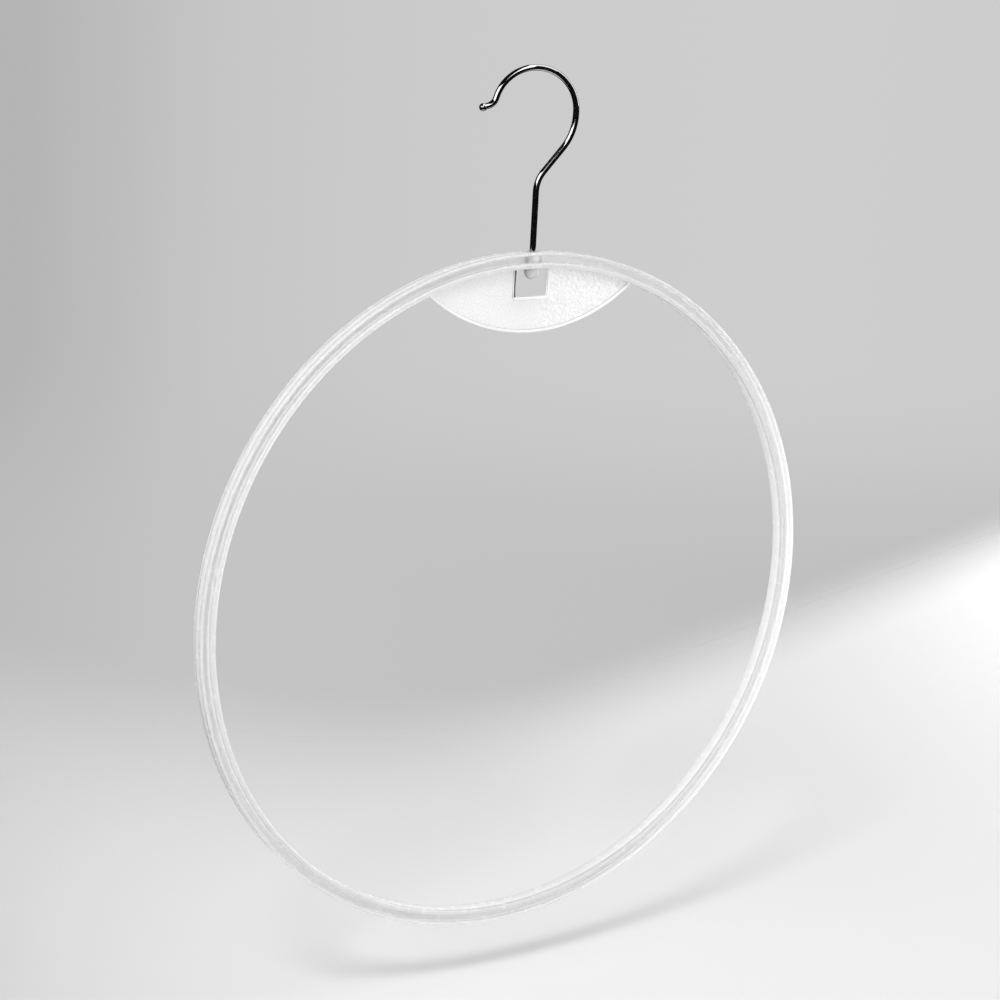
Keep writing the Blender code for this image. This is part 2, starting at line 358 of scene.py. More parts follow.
# %% Recess its panels, and keep a frame round them and round the window
panels = bmesh.new()
panel_outline = lens(PLATE_ARC_RADIUS - FRAME_WIDTH, JOIN_RADIUS + PAST)
slab(panels, panel_outline, PANEL_THICKNESS / 2, PAST)
slab(panels, panel_outline, -PAST, -PANEL_THICKNESS / 2)
recess = add_object("recess", panels)
bars = bmesh.new()
bars_outline = notch(
    WINDOW_WIDTH / 2 + FRAME_WIDTH,
    WINDOW_SILL - FRAME_WIDTH,
    WINDOW_TOP + PAST,
    WINDOW_CORNER + FRAME_WIDTH,
)
slab(bars, bars_outline, -2 * PAST, 2 * PAST)
combine(recess, add_object("bars", bars), "DIFFERENCE")
combine(plate, recess, "DIFFERENCE")

# %% Cut the window
window = bmesh.new()
window_outline = notch(WINDOW_WIDTH / 2, WINDOW_SILL, WINDOW_TOP, WINDOW_CORNER)
slab(window, window_outline, -PAST, PAST)
combine(plate, add_object("window", window), "DIFFERENCE")

# %% [markdown]
# A moulded edge is never knife-sharp. A Bevel modifier with an angle limit rounds every edge of the
# finished plate at once, and a radius of 0.12 mm is enough to catch a line of light along the frame.

# %% Break the plate's edges and join it to the ring
EDGE_ROUNDING = 0.12 * MM
EDGE_ANGLE = math.radians(40)
bevel = plate.modifiers.new("moulded_edges", "BEVEL")
bevel.width = EDGE_ROUNDING
bevel.segments = 2
bevel.limit_method = "ANGLE"
bevel.angle_limit = EDGE_ANGLE
apply_modifiers(plate)
combine(hoop, plate, "UNION")

# %% [markdown]
# ## The swivel socket
#
# A round boss crosses the channel on the hook's axis and ends in a dome inside the window. It is
# hollow: the wire drops through a bore in the lip, and its snap head is caught in the chamber below.
# Both shapes are turned, so each is half a profile spun round the shank's axis.

# %% The snap head's and the socket's sizes
SWIVEL_CLEARANCE = 0.3 * MM
HEAD_FLARE = 0.8 * MM
HEAD_BAND = 0.6 * MM
HEAD_CONE = 2.2 * MM
HEAD_TIP_RADIUS = 0.9 * MM
LIP_DEPTH = 3.9 * MM
SOCKET_LEAD_IN = 0.4 * MM
SOCKET_ROOM = 2.5 * MM
SOCKET_WALL = 1.1 * MM
HEAD_RADIUS = WIRE_RADIUS + HEAD_FLARE
SHOULDER_DEPTH = LIP_DEPTH + SWIVEL_CLEARANCE
BORE_RADIUS = WIRE_RADIUS + SWIVEL_CLEARANCE
SOCKET_RADIUS = HEAD_RADIUS + SWIVEL_CLEARANCE
BOSS_RADIUS = SOCKET_RADIUS + SOCKET_WALL
DOME_DEPTH = SHOULDER_DEPTH + HEAD_BAND + HEAD_CONE + SOCKET_ROOM
print("chamber is", round(2000 * SOCKET_RADIUS, 1), "mm across")
print("its bore is", round(2000 * BORE_RADIUS, 1), "mm across")

# %% Turned shapes
TURNED_STEPS = 64
DOME_STEP = math.radians(6)


def turned(name, profile):
    """A closed solid turned from (radius, depth) points that start and end on the axis."""
    bm = bmesh.new()
    points = [bm.verts.new((radius, 0, HOOP_TOP + z)) for radius, z in profile]
    edges = [bm.edges.new(pair) for pair in zip(points, points[1:])]
    bmesh.ops.spin(
        bm,
        geom=points + edges,
        cent=(0, 0, 0),
        axis=(0, 0, 1),
        angle=math.tau,
        steps=TURNED_STEPS,
        use_merge=True,
    )
    bmesh.ops.remove_doubles(bm, verts=bm.verts, dist=MERGE_DISTANCE)
    return add_object(name, bm)


def dome(radius):
    """A quarter of a circle that starts on the axis and ends straight up."""
    return arc((0, -DOME_DEPTH), radius, -math.pi / 2, 0, DOME_STEP)


# %% Join the boss and cut the chamber
boss_top = -OUTER_FLANGE / 2
boss_profile = dome(BOSS_RADIUS) + [(BOSS_RADIUS, boss_top), (0, boss_top)]
combine(hoop, turned("boss", boss_profile), "UNION")
chamber_profile = dome(SOCKET_RADIUS) + [
    (SOCKET_RADIUS, -LIP_DEPTH),
    (BORE_RADIUS, -LIP_DEPTH),
    (BORE_RADIUS, -SOCKET_LEAD_IN),
    (BORE_RADIUS + SOCKET_LEAD_IN + PAST, PAST),
    (0, PAST),
]
combine(hoop, turned("chamber", chamber_profile), "DIFFERENCE")
shade(hoop.data)

# %% [markdown]
# ## The hook
#
# The hook starts as straight wire. Its lower end is headed, then it is bent round formers: a swan
# neck that brings the crook back over the hoop's middle, the crook itself, and a small turn outwards
# that ends in a ball, so that it doesn't snag on cloth. The mesh is made in the same order. A ring
# of edges is extruded along each straight and spun round each bend, so every size of the path is a
# size that a wire bender would set.

# %% A wire that grows
WIRE_SIDES = 36
BEND_STEP = math.radians(2.5)


class Wire:
    """A round wire in the XZ plane, grown from a disc by straights and bends."""

    def __init__(self, radius, z):
        self.bm = bmesh.new()
        self.position = Vector((0, 0, z))
        self.direction = Vector((0, 0, 1))
        self.radius = radius
        start = Matrix.Translation(self.position)
        disc = bmesh.ops.create_circle(
            self.bm, cap_ends=True, segments=WIRE_SIDES, radius=radius, matrix=start
        )
        self.verts = disc["verts"]
        self.edges = [e for e in self.bm.edges if e.is_boundary]

    def take_end(self, grown):
        """Remembers the newest ring of points and edges, which the next step grows from."""
        self.verts = [v for v in grown if isinstance(v, bmesh.types.BMVert)]
        self.edges = [e for e in grown if isinstance(e, bmesh.types.BMEdge)]

    def straight(self, length, radius=None):
        """Grows straight on, and widens or narrows to the radius where one is given."""
        self.take_end(bmesh.ops.extrude_edge_only(self.bm, edges=self.edges)["geom"])
        bmesh.ops.translate(self.bm, verts=self.verts, vec=self.direction * length)
        self.position = self.position + self.direction * length
        if radius is not None:
            share = radius / self.radius
            space = Matrix.Translation(-self.position)
            bmesh.ops.scale(self.bm, verts=self.verts, vec=(share,) * 3, space=space)
            self.radius = radius

    def bend(self, bend_radius, angle):
        """Bends towards +X for a positive angle and towards -X for a negative one."""
        side = Vector((self.direction.z, 0, -self.direction.x))
        centre = self.position + side * math.copysign(bend_radius, angle)
        steps = math.ceil(abs(angle) / BEND_STEP)
        end = bmesh.ops.spin(
            self.bm,
            geom=self.verts + self.edges,
            cent=centre,
            axis=(0, 1, 0),
            angle=angle,
            steps=steps,
        )["geom_last"]
        self.take_end(end)
        turn = Matrix.Rotation(angle, 3, "Y")
        self.position = centre + turn @ (self.position - centre)
        self.direction = turn @ self.direction


# %% Head the wire and bend it
wire = Wire(HEAD_TIP_RADIUS, HOOP_TOP - SHOULDER_DEPTH - HEAD_BAND - HEAD_CONE)
wire.straight(HEAD_CONE, HEAD_RADIUS)
wire.straight(HEAD_BAND)
wire.straight(0, WIRE_RADIUS)
wire.straight(SHOULDER_DEPTH + SHANK_LENGTH)
wire.bend(LOWER_BEND_RADIUS, SLANT_ANGLE)
wire.straight(SLANT_LENGTH)
wire.bend(UPPER_BEND_RADIUS, -SLANT_ANGLE)
wire.straight(RISE_LENGTH)
wire.bend(CROOK_RADIUS, -CROOK_ANGLE)
wire.bend(TIP_BEND_RADIUS, TIP_BEND_ANGLE)
wire.straight(TIP_LENGTH)
bmesh.ops.contextual_create(wire.bm, geom=wire.edges)
print("wire's tip is", round(-1000 * wire.position.x, 1), "mm from the shank's axis")

# %% Turn the hook on its swivel and form the ball
turn_hook = Matrix.Rotation(HOOK_TURN, 4, "Z")
ball_place = turn_hook @ Matrix.Translation(wire.position)
bmesh.ops.transform(wire.bm, matrix=turn_hook, verts=wire.bm.verts)
hook = add_object("hook_wire", wire.bm)

ball = bmesh.new()
bmesh.ops.create_uvsphere(
    ball,
    u_segments=WIRE_SIDES,
    v_segments=WIRE_SIDES // 2,
    radius=BALL_RADIUS,
    matrix=ball_place,
)
combine(hook, add_object("ball", ball), "UNION")
weld(hook)
shade(hook.data)

# %% [markdown]
# ## Natural polypropylene
#
# Polypropylene without pigment is milky: its crystals scatter light. A thin wall with light behind
# it, such as the web or the label panel, glows nearly white, and the thick boss is greyer and half
# clear, so that the steel in the socket shows through as a shadow. The shader mixes two ways for
# light to enter: subsurface scattering over several millimetres for the milk, and transmission
# through a satin skin for what shows through in the boss.
#
# The shares follow the place in the moulding, so a single material fits all of it. Masks say where:
# each is a number from 0 to 1, worked out from how far a point lies from the hoop's middle plane,
# from its centre or from the shank's axis. A Map Range node turns such a length to a mask. Its span
# is the length where the mask is 0 and the length where it is 1.

# %% Where a point of the moulding lies
MULTIPLY = {"operation": "MULTIPLY"}
LENGTH = {"operation": "LENGTH"}
plastic = new_material("natural_polypropylene_moulded")
tree = plastic.node_tree
spot = add_node(tree, "ShaderNodeTexCoord").outputs["Object"]
axes = add_node(tree, "ShaderNodeSeparateXYZ", inputs={0: spot})
depth = add_node(tree, "ShaderNodeMath", {"operation": "ABSOLUTE"}, {0: axes.outputs["Y"]})
across = add_node(tree, "ShaderNodeVectorMath", MULTIPLY, {0: spot, 1: (1, 1, 0)})
from_axis = add_node(tree, "ShaderNodeVectorMath", LENGTH, {0: across})
outwards = add_node(
    tree,
    "ShaderNodeVectorMath",
    {"operation": "MULTIPLY_ADD"},
    {0: spot, 1: (1, 0, 1), 2: (0, 0, -HOOP_CENTRE)},
)
from_centre = add_node(tree, "ShaderNodeVectorMath", LENGTH, {0: outwards})
print("hoop's centre is", round(-1000 * HOOP_CENTRE, 1), "mm under the origin")

# %% Masks for the painted shade on the flanges and their end faces, and for the boss
SOFT_STEP = {"interpolation_type": "SMOOTHSTEP"}
FLANGE_SPAN = {"From Min": root + 0.2 * MM, "From Max": root + 1.5 * MM}
END_FACE_SPAN = {
    "From Min": rim - 0.15 * MM,
    "From Max": rim - 0.05 * MM,
}
DOME_FOOT = HOOP_TOP - DOME_DEPTH - BOSS_RADIUS
BOSS_SPAN = {"From Min": BOSS_RADIUS + 1.8 * MM, "From Max": BOSS_RADIUS + 0.8 * MM}
BOSS_FOOT_SPAN = {"From Min": DOME_FOOT - 3.8 * MM, "From Max": DOME_FOOT - 1.8 * MM}
flange_shade = add_node(tree, "ShaderNodeMapRange", SOFT_STEP, {"Value": depth, **FLANGE_SPAN})
end_face_shade = add_node(tree, "ShaderNodeMapRange", SOFT_STEP, {"Value": depth, **END_FACE_SPAN})
near_axis = add_node(tree, "ShaderNodeMapRange", SOFT_STEP, {"Value": from_axis, **BOSS_SPAN})
above_foot = add_node(
    tree, "ShaderNodeMapRange", SOFT_STEP, {"Value": axes.outputs["Z"], **BOSS_FOOT_SPAN}
)
boss_share = add_node(tree, "ShaderNodeMath", MULTIPLY, {0: near_axis, 1: above_foot})
boss_height = 1000 * (HOOP_TOP - DOME_FOOT)
print("boss is", round(2000 * BOSS_RADIUS, 1), "mm across and", round(boss_height, 1), "mm high")

# %% [markdown]
# The walls also guide light along their depth and let it out at their back edges, which gives the
# ring a bright line round its outside at the left and round its inside at the right. Here that line
# is painted light: a paler coat on the back edges. It starts behind the middle plane on most walls.
# On the hoop's inner face, which the light reaches from across the hoop, it starts in front of the
# plane.

# %% A mask for the painted light on the back edges
EDGE_START_SPAN = {
    "From Min": INNER_RADIUS + 0.2 * MM,
    "From Max": INNER_RADIUS + 1.5 * MM,
    "To Min": -2.5 * MM,
    "To Max": 1.8 * MM,
}
EDGE_FADE = 1.2 * MM
edge_start = add_node(tree, "ShaderNodeMapRange", inputs={"Value": from_centre, **EDGE_START_SPAN})
edge_full = add_node(tree, "ShaderNodeMath", {"operation": "ADD"}, {0: edge_start, 1: EDGE_FADE})
back_edge_glow = add_node(
    tree,
    "ShaderNodeMapRange",
    SOFT_STEP,
    {"Value": axes.outputs["Y"], "From Min": edge_start, "From Max": edge_full},
)
print("walls reach", round(1000 * rim, 2), "mm behind the middle plane")

# %% A mask for the recessed panels
INSIDE_SPAN = {"From Min": INNER_RADIUS, "From Max": INNER_RADIUS - 0.2 * MM}
RECESS_SPAN = {
    "From Min": PANEL_THICKNESS / 2 + 0.09 * MM,
    "From Max": PANEL_THICKNESS / 2 + 0.02 * MM,
}
inside_ring = add_node(
    tree, "ShaderNodeMapRange", SOFT_STEP, {"Value": from_centre, **INSIDE_SPAN}
)
recessed = add_node(tree, "ShaderNodeMapRange", SOFT_STEP, {"Value": depth, **RECESS_SPAN})
panel = add_node(tree, "ShaderNodeMath", MULTIPLY, {0: inside_ring, 1: recessed})
print("these masks bring the plastic to", len(tree.nodes), "nodes")

# %% [markdown]
# The label panel has a fine texture, which the mould's sparked steel gives it. It reads as flecks of
# about a millimetre, and at the right of the window they run together into slanting streaks, where
# the plastic flowed round the window.

# %% The panel's flecks and streaks
FLECK = 0.6 * MM
STREAK = 0.4 * MM
STREAK_SLANT = math.radians(-40)
STREAK_STRETCH = 5.0
FLOW = 4.0 * MM
slanted = add_node(
    tree,
    "ShaderNodeMapping",
    {"vector_type": "TEXTURE"},
    {"Vector": spot, "Rotation": (0, STREAK_SLANT, 0), "Scale": (1.0, 1.0, STREAK_STRETCH)},
)
fleck, streak, flow = (
    add_node(tree, "ShaderNodeTexNoise", inputs={"Vector": place, "Scale": 1 / size, "Detail": 2.0})
    for place, size in ((spot, FLECK), (slanted, STREAK), (spot, FLOW))
)
print("flecks are", 1000 * FLECK, "mm and the plastic's clouds", 1000 * FLOW, "mm")

# %% Streaks at the right, flecks at the left
NUMBERS = {"data_type": "FLOAT"}
RIGHT_HALF_SPAN = {"From Min": -6 * MM, "From Max": 13 * MM}
SPECK_SPAN = {"From Min": 0.4, "From Max": 0.6}
right_half = add_node(
    tree, "ShaderNodeMapRange", SOFT_STEP, {"Value": axes.outputs["X"], **RIGHT_HALF_SPAN}
)
grain = add_node(
    tree,
    "ShaderNodeMix",
    NUMBERS,
    {"Factor": right_half, "A": fleck.outputs[0], "B": streak.outputs[0]},
)
speck = add_node(tree, "ShaderNodeMapRange", SOFT_STEP, {"Value": grain, **SPECK_SPAN})
print("streaks slant by", round(abs(math.degrees(STREAK_SLANT))), "degrees")

# %% [markdown]
# The step from the panel up to its frame catches no light, and a grey line of painted shade is drawn
# along it. Along the window's left side the frame shows the window's own wall through it, which
# sends its light away from the camera, so that strip of the frame is painted nearly black, as
# painted shade.

# %% Masks for the painted shade on the frame's step and beside the window
STEP_MIDDLE = (PANEL_THICKNESS + FRAME_RELIEF) / 2
STEP_REACH = 0.13 * MM
STRIP_MIDDLE = -WINDOW_WIDTH / 2 - 0.35 * MM
STRIP_REACH = 0.75 * MM
strip_width = -WINDOW_WIDTH / 2 - STRIP_MIDDLE + STRIP_REACH
WITHIN = {"operation": "COMPARE"}
on_step = add_node(tree, "ShaderNodeMath", WITHIN, {0: depth, 1: STEP_MIDDLE, 2: STEP_REACH})
frame_step_shade = add_node(tree, "ShaderNodeMath", MULTIPLY, {0: inside_ring, 1: on_step})
on_strip = add_node(
    tree, "ShaderNodeMath", WITHIN, {0: axes.outputs["X"], 1: STRIP_MIDDLE, 2: STRIP_REACH}
)
over_sill = add_node(
    tree,
    "ShaderNodeMath",
    {"operation": "GREATER_THAN"},
    {0: axes.outputs["Z"], 1: HOOP_CENTRE + WINDOW_SILL},
)
beside_window = add_node(tree, "ShaderNodeMath", MULTIPLY, {0: on_strip, 1: over_sill})
window_edge_shade = add_node(tree, "ShaderNodeMath", MULTIPLY, {0: beside_window, 1: inside_ring})
print("dark strip is", round(1000 * strip_width, 1), "mm wide on the frame's face")

# %% [markdown]
# The colours are laid over each other like coats: each row below paints its colour where its mask is
# full. Flanges and their end faces are painted greyer than the web, as painted shade for the light
# that comes through them less.

# %% The ring's colours
COLOURS = {"data_type": "RGBA"}
walls = linear("F5F5F5")
for mask, coat in (
    (flange_shade, "CACACA"),
    # painted light: the back edges are coated paler
    (back_edge_glow, "FAFAFA"),
    (end_face_shade, "C4C4C4"),
    (boss_share, "F4F4F4"),
):
    coated = {"Factor": mask, "A": walls, "B": linear(coat)}
    walls = add_node(tree, "ShaderNodeMix", COLOURS, coated)
cloud = add_node(
    tree,
    "ShaderNodeMix",
    COLOURS,
    {"Factor": flow, "A": linear("F8F8F8"), "B": linear("FFFFFF")},
)
body = add_node(
    tree,
    "ShaderNodeMix",
    {"data_type": "RGBA", "blend_type": "MULTIPLY"},
    {"Factor": 1.0, "A": walls, "B": cloud},
)
print("the ring's colours bring it to", len(tree.nodes), "nodes")

# %% The plate's colours
# Both tones are paler towards the right: painted light, for the light that falls from the right.
dark_tone, milk_tone = (
    add_node(
        tree,
        "ShaderNodeMix",
        COLOURS,
        {"Factor": right_half, "A": linear(at_left), "B": linear(at_right)},
    )
    for at_left, at_right in (("D8D8D8", "DCDCDC"), ("EAEAEA", "FAFAFA"))
)
milk = add_node(
    tree, "ShaderNodeMix", COLOURS, {"Factor": speck, "A": dark_tone, "B": milk_tone}
)
colour = body
# The frame's step and the strip beside the window are coated with painted shade.
for mask, coat in (
    (inside_ring, linear("F6F6F6")),
    (panel, milk),
    (frame_step_shade, linear("8C8C8C")),
    (window_edge_shade, linear("3C3C3C")),
):
    coated = {"Factor": mask, "A": colour, "B": coat}
    colour = add_node(tree, "ShaderNodeMix", COLOURS, coated)
print("the plate's colours bring it to", len(tree.nodes), "nodes")

# %% The plastic's clearness, skin and relief
BOSS_CLEARNESS = 0.15
BOSS_ROUGHNESS = 0.06
PANEL_ROUGHNESS = 0.45
SATIN_SPAN = {"To Min": 0.2, "To Max": 0.32}
FLOW_RELIEF = 0.03
RELIEF_HEIGHT = 0.08 * MM
clear = add_node(tree, "ShaderNodeMath", MULTIPLY, {0: boss_share, 1: BOSS_CLEARNESS})
satin = add_node(tree, "ShaderNodeMapRange", inputs={"Value": flow, **SATIN_SPAN})
dull = add_node(
    tree, "ShaderNodeMix", NUMBERS, {"Factor": panel, "A": satin, "B": PANEL_ROUGHNESS}
)
rough = add_node(
    tree, "ShaderNodeMix", NUMBERS, {"Factor": boss_share, "A": dull, "B": BOSS_ROUGHNESS}
)
soft_flow = add_node(tree, "ShaderNodeMath", MULTIPLY, {0: flow, 1: FLOW_RELIEF})
relief = add_node(tree, "ShaderNodeMix", NUMBERS, {"Factor": panel, "A": soft_flow, "B": grain})
texture = add_node(
    tree,
    "ShaderNodeBump",
    inputs={"Height": relief, "Strength": 0.5, "Distance": RELIEF_HEIGHT},
)
print("clearness, skin and relief bring it to", len(tree.nodes), "nodes")

# %% Put the plastic on the hoop
feed(
    tree,
    tree.nodes["Principled BSDF"],
    {
        "IOR": 1.49,
        "Subsurface Weight": 1.0,
        "Subsurface Radius": (1.0, 1.0, 1.0),
        "Subsurface Scale": 7.0 * MM,
        "Base Color": colour,
        "Transmission Weight": clear,
        "Roughness": rough,
        "Normal": texture,
    },
)
dress(hoop, plastic)

# %% [markdown]
# ## Polished chrome
#
# Chrome is a mirror, so its look is the room's. Against a dark room a thin chromed wire is black
# with a thin line of light wherever it faces a lamp. The wire was drawn and bent before it was
# plated, so its skin is not quite even: the gloss varies a little over a few millimetres, and the
# plating has a ripple of a few microns that breaks the edges of the highlights.

# %% The chrome
HAZE = 3 * MM
GLOSS_SPAN = {"From Min": 0.3, "From Max": 0.7, "To Min": 0.05, "To Max": 0.12}
RIPPLE = 0.7 * MM
RIPPLE_HEIGHT = 0.006 * MM
chrome = new_material("chromed_steel_wire")
tree = chrome.node_tree
on_wire = add_node(tree, "ShaderNodeTexCoord").outputs["Object"]
haze = add_node(
    tree, "ShaderNodeTexNoise", inputs={"Vector": on_wire, "Scale": 1 / HAZE, "Detail": 3.0}
)
gloss = add_node(tree, "ShaderNodeMapRange", inputs={"Value": haze, **GLOSS_SPAN})
ripple = add_node(
    tree, "ShaderNodeTexNoise", inputs={"Vector": on_wire, "Scale": 1 / RIPPLE, "Detail": 2.0}
)
rippled = add_node(
    tree,
    "ShaderNodeBump",
    inputs={"Height": ripple, "Strength": 0.1, "Distance": RIPPLE_HEIGHT},
)
feed(
    tree,
    tree.nodes["Principled BSDF"],
    {"Base Color": linear("C4C5C8"), "Metallic": 1.0, "Roughness": gloss, "Normal": rippled},
)
dress(hook, chrome)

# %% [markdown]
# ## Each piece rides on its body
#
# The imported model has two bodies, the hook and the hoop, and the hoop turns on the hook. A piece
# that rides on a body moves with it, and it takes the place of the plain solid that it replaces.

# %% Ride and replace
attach(hoop, "hoop")
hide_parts("moulded_hoop")
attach(hook, "hook")
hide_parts("wire_hook")

# %% [markdown]
# ## The floor
#
# A pale table top catches the hanger's soft shadow. It is lit up to a blurred line that runs behind
# the hanger from the left to the right, sharper on the right, and past the line it falls off into
# the grey of the backdrop. The fall-off is painted on the floor's own coordinates and lets the
# backdrop show through, so the two meet without a horizon.

# %% A round table top
FLOOR_HEIGHT = -0.455
FLOOR_RADIUS = 1.6
floor_mesh = bmesh.new()
bmesh.ops.create_circle(
    floor_mesh,
    cap_ends=True,
    segments=96,
    radius=FLOOR_RADIUS,
    matrix=Matrix.Translation((0, 0, FLOOR_HEIGHT)),
)
floor = add_object("floor", floor_mesh)
gap_below = cad_low[2] - FLOOR_HEIGHT
print("hoop hangs", round(1000 * gap_below, 1), "mm above the table")

# %% [markdown]
# The line where the light ends runs further back the further right it is, by a fixed slope. The
# spans below say, in metres, how its place and its blur change from a left x to a right x.

# %% Where the table's light ends
EDGE_SLOPE = 0.355
EDGE_SPAN = {"From Min": -0.2, "From Max": 0.15, "To Min": 0.45, "To Max": 0.225}
BLUR_SPAN = {"From Min": -0.2, "From Max": 0.3, "To Min": 0.42, "To Max": 0.065}
paper = new_material("pale_table_top")
tree = paper.node_tree
on_table = add_node(tree, "ShaderNodeTexCoord").outputs["Object"]
table_x = add_node(tree, "ShaderNodeSeparateXYZ", inputs={0: on_table}).outputs["X"]
past_line = add_node(
    tree,
    "ShaderNodeVectorMath",
    {"operation": "DOT_PRODUCT"},
    {0: on_table, 1: (-EDGE_SLOPE, 1, 0)},
)
edge = add_node(tree, "ShaderNodeMapRange", SOFT_STEP, {"Value": table_x, **EDGE_SPAN})
blur = add_node(tree, "ShaderNodeMapRange", SOFT_STEP, {"Value": table_x, **BLUR_SPAN})
full_light = add_node(tree, "ShaderNodeMath", {"operation": "SUBTRACT"}, {0: edge, 1: blur})
no_light = add_node(tree, "ShaderNodeMath", {"operation": "ADD"}, {0: edge, 1: blur})
unlit = add_node(
    tree,
    "ShaderNodeMapRange",
    SOFT_STEP,
    {"Value": past_line, "From Min": full_light, "From Max": no_light},
)
print("light ends over", 2 * BLUR_SPAN["To Min"], "m left and", 2 * BLUR_SPAN["To Max"], "m right")

# %% [markdown]
# The table fades out before its rim, which hides that it is round. The chrome would mirror the whole
# of it as a wide grey band. In a studio the table is small and the room round it dark, so for
# mirrored rays the table ends sooner.

# %% Fade the table into the backdrop
RIM_SPAN = {"From Min": 1.05, "From Max": 1.5}
MIRRORED_SPAN = {"From Min": 0.1, "From Max": 0.35}
LARGER = {"operation": "MAXIMUM"}
level = add_node(tree, "ShaderNodeVectorMath", MULTIPLY, {0: on_table, 1: (1, 1, 0)})
reach = add_node(tree, "ShaderNodeVectorMath", LENGTH, {0: level})
near_rim = add_node(tree, "ShaderNodeMapRange", SOFT_STEP, {"Value": reach, **RIM_SPAN})
outside_pool = add_node(
    tree, "ShaderNodeMapRange", SOFT_STEP, {"Value": reach, **MIRRORED_SPAN}
)
glossy_ray = add_node(tree, "ShaderNodeLightPath").outputs["Is Glossy Ray"]
cut_short = add_node(tree, "ShaderNodeMath", MULTIPLY, {0: outside_pool, 1: glossy_ray})
open_edge = add_node(tree, "ShaderNodeMath", LARGER, {0: unlit, 1: near_rim})
faded = add_node(tree, "ShaderNodeMath", LARGER, {0: open_edge, 1: cut_short})
print("table is whole to", RIM_SPAN["From Min"], "m, mirrored to", MIRRORED_SPAN["From Min"], "m")

# %% [markdown]
# The paper's tone is painted light: it is palest under the hanger, a little greyer towards the right
# and greyer still at the far left, painted to follow how the studio's light falls off.

# %% The table's painted fall-off of light
RIGHT_SPAN = {"From Min": 0.0, "From Max": 0.5}
LEFT_SPAN = {"From Min": -0.05, "From Max": -0.45}
falloff_tone = linear("E8E8E8")
for span, coat in ((RIGHT_SPAN, "DCDCDC"), (LEFT_SPAN, "BABABA")):
    side = add_node(tree, "ShaderNodeMapRange", SOFT_STEP, {"Value": table_x, **span})
    coated = {"Factor": side, "A": falloff_tone, "B": linear(coat)}
    falloff_tone = add_node(tree, "ShaderNodeMix", COLOURS, coated)
sheet = tree.nodes["Principled BSDF"]
feed(tree, sheet, {"Base Color": falloff_tone, "Roughness": 0.9, "Specular IOR Level": 0.1})
through = add_node(tree, "ShaderNodeBsdfTransparent")
faded_sheet = add_node(tree, "ShaderNodeMixShader", inputs={0: faded, 1: sheet, 2: through})
feed(tree, tree.nodes["Material Output"], {"Surface": faded_sheet})
dress(floor, paper)

# %% [markdown]
# ## The room
#
# The backdrop is plain grey, a little darker at its left. The camera sees it, and so does whatever
# looks through the plastic. Behind the camera the studio is dark, so that is what the chrome
# mirrors. Light that has bounced off matt surfaces fills the shadows from all round, more from the
# front and from below, where the studio's screens and the pale table are, than from above and
# behind.

# %% Which way a ray goes
BACKDROP_AZIMUTH = math.radians(57.3)
ALONG = {"operation": "DOT_PRODUCT"}
to_right = (math.sin(BACKDROP_AZIMUTH), -math.cos(BACKDROP_AZIMUTH), 0)
to_backdrop = (math.cos(BACKDROP_AZIMUTH), math.sin(BACKDROP_AZIMUTH), 0)
world = bpy.data.worlds.new("studio")
bpy.context.scene.world = world
world.use_nodes = True
tree = world.node_tree
tree.nodes.clear()
view = add_node(tree, "ShaderNodeTexCoord").outputs["Generated"]
height = add_node(tree, "ShaderNodeSeparateXYZ", inputs={0: view}).outputs["Z"]
rightward = add_node(tree, "ShaderNodeVectorMath", ALONG, {0: view, 1: to_right})
facing = add_node(tree, "ShaderNodeVectorMath", ALONG, {0: view, 1: to_backdrop})
print("backdrop's middle lies at", round(math.degrees(BACKDROP_AZIMUTH), 1), "degrees")

# %% The backdrop's greys, from left to right
UPPER_GREYS = ["B4", "C6", "CB", "CD", "CE", "CC"]
LOWER_GREYS = ["BD", "C4", "C2", "C1", "BF", "BD"]
WIDTH_SPAN = {"From Min": -0.2, "From Max": 0.2}
LOWNESS_SPAN = {"From Min": -0.19, "From Max": -0.29}
share = add_node(tree, "ShaderNodeMapRange", inputs={"Value": rightward, **WIDTH_SPAN})
ramps = []
for greys in (UPPER_GREYS, LOWER_GREYS):
    ramp = add_node(tree, "ShaderNodeValToRGB", inputs={"Fac": share})
    stops = ramp.color_ramp.elements
    while len(stops) < len(greys):
        stops.new(0.5)
    for i, grey in enumerate(greys):
        stops[i].position = i / (len(greys) - 1)
        stops[i].color = linear(grey * 3)
    ramps.append(ramp)
lowness = add_node(tree, "ShaderNodeMapRange", SOFT_STEP, {"Value": height, **LOWNESS_SPAN})
backdrop = add_node(
    tree,
    "ShaderNodeMix",
    COLOURS,
    {"Factor": lowness, "A": ramps[0].outputs[0], "B": ramps[1].outputs[0]},
)
print("backdrop blends", len(UPPER_GREYS), "greys above and", len(LOWER_GREYS), "below")

# %% [markdown]
# A Light Path node tells the rays apart. Camera rays and rays through the plastic see the backdrop.
# Mirrored rays see it only straight ahead, with the dark room round it, and all others see the fill.

# %% The backdrop, the dark room and the fill
FILL = 0.68
FILL_LEAN = 0.45
FILL_FROM = (0.1, -0.65, -0.8)
DARK_ROOM = 0.004
AHEAD_SPAN = {"From Min": 0.75, "From Max": 0.95}
WHITE = linear("FFFFFF")
ahead = add_node(tree, "ShaderNodeMapRange", SOFT_STEP, {"Value": facing, **AHEAD_SPAN})
leaning = add_node(tree, "ShaderNodeVectorMath", ALONG, {0: view, 1: FILL_FROM})
fill_level = add_node(
    tree, "ShaderNodeMath", {"operation": "MULTIPLY_ADD"}, {0: leaning, 1: FILL_LEAN, 2: FILL}
)
pale = add_node(tree, "ShaderNodeBackground", inputs={"Color": backdrop})
fill = add_node(tree, "ShaderNodeBackground", inputs={"Color": WHITE, "Strength": fill_level})
dark = add_node(tree, "ShaderNodeBackground", inputs={"Color": WHITE, "Strength": DARK_ROOM})
print("fill is", FILL, "strong at level, and the dark room", DARK_ROOM)

